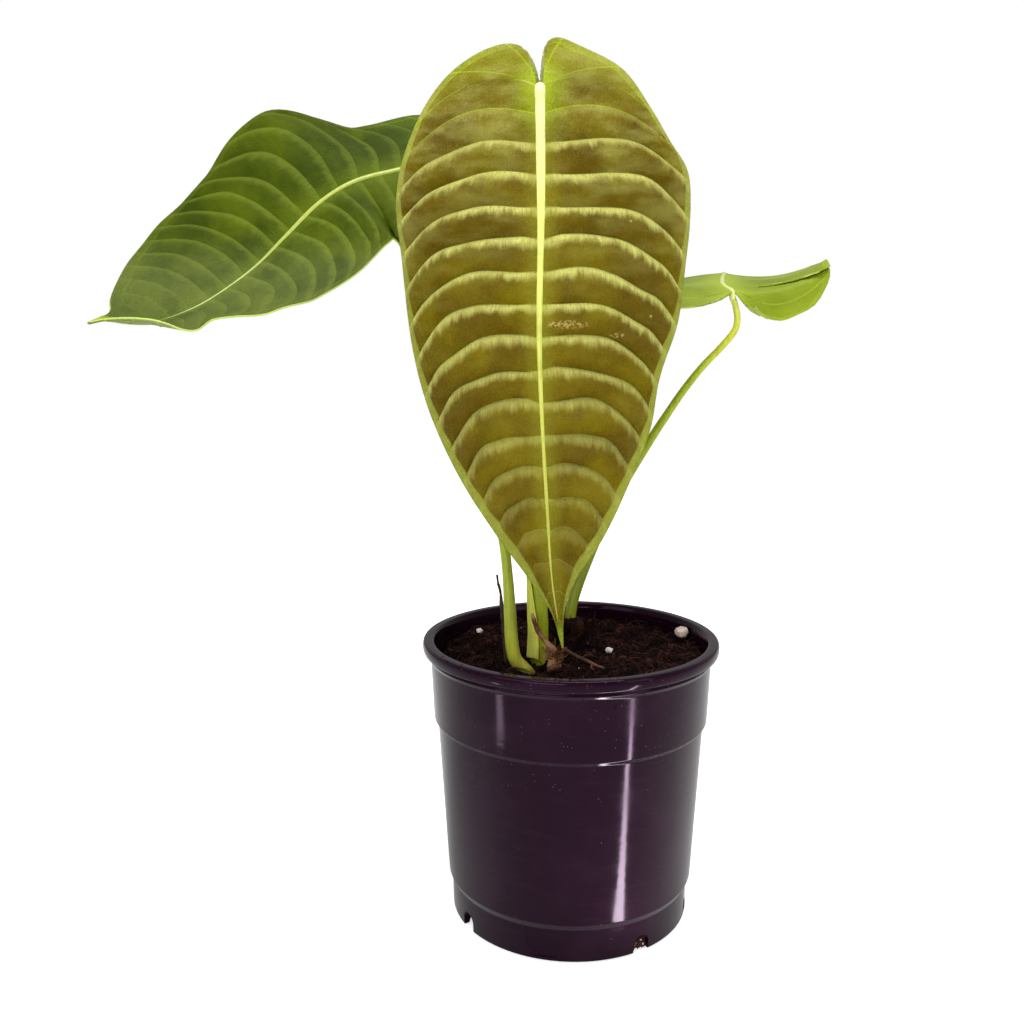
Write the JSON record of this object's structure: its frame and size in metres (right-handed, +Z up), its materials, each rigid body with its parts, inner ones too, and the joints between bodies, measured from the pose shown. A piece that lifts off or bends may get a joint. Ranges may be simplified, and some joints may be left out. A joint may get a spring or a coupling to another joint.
{
  "type": "potted king anthurium",
  "caption": "Young king anthurium with pleated heart-shaped leaves on long stalks, rooted in soil in a round nursery pot with drain notches.",
  "frame": {"origin": "centre of the pot's base, on the plane the pot stands on", "axes": "+Z up along the pot's axis, -Y towards the front, where the big leaf hangs; +X to the right"},
  "size_m": [0.2494, 0.2041, 0.313],
  "materials": {
    "pot_plastic": "glossy dark aubergine moulded plastic, faintly scratched",
    "soil": "damp dark coir and bark mix",
    "blade_olive": "satin olive-brown living leaf",
    "blade_green": "satin green living leaf",
    "petiole": "satin lime green living stalk",
    "sheath": "pale yellow papery sheath",
    "fibre": "rough brown fibre",
    "dry_dark": "dry dark brown",
    "dry_pale": "dry beige, rough",
    "pumice": "matt pale porous stone",
    "perlite": "matt white expanded grain"
  },
  "bodies": {
    "root": {"pot": "pot_plastic", "potting_soil": "soil", "stem_base": "fibre", "petiole_front": "petiole", "petiole_left": "petiole", "petiole_right": "petiole", "blade_front": "blade_olive", "blade_left": "blade_green", "blade_right": "blade_green", "sheath_front": "sheath", "dried_strand": "dry_dark", "root_twig": "fibre", "old_stalk": "dry_pale", "pumice_lump": "pumice", "perlite_front": "perlite", "perlite_left": "perlite"}
  },
  "joints": []
}
